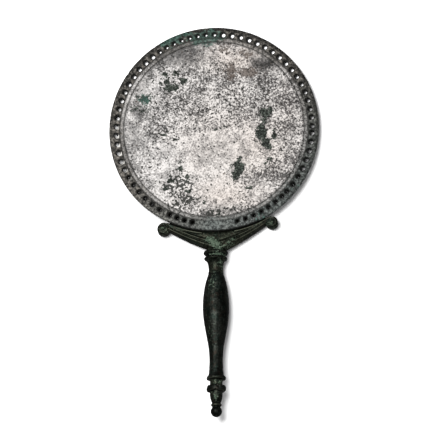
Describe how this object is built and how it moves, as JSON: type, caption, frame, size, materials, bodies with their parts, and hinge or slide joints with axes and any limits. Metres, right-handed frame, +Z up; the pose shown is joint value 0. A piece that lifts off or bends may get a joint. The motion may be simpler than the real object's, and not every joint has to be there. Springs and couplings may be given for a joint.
{
  "type": "bronze hand mirror",
  "caption": "Round bronze hand mirror with a drilled rim, lying on its back, on a cast baluster handle whose scrolled crescent bracket carries the disc.",
  "frame": {"origin": "on the floor, under the middle of the mirror's box, as it lies on its back", "axes": "+Z up, +Y from the handle towards the disc, +X to the right as the mirror is looked into"},
  "size_m": [0.1318, 0.2504, 0.0195],
  "materials": {
    "silvered_bronze": "worn silvery high-tin bronze with dark corrosion specks and a dark drilled rim",
    "patinated_bronze": "smooth dark green-black patina with pale green corrosion in the hollows"
  },
  "bodies": {
    "root": {"mirror_disc": "silvered_bronze", "handle": "patinated_bronze"}
  },
  "joints": []
}
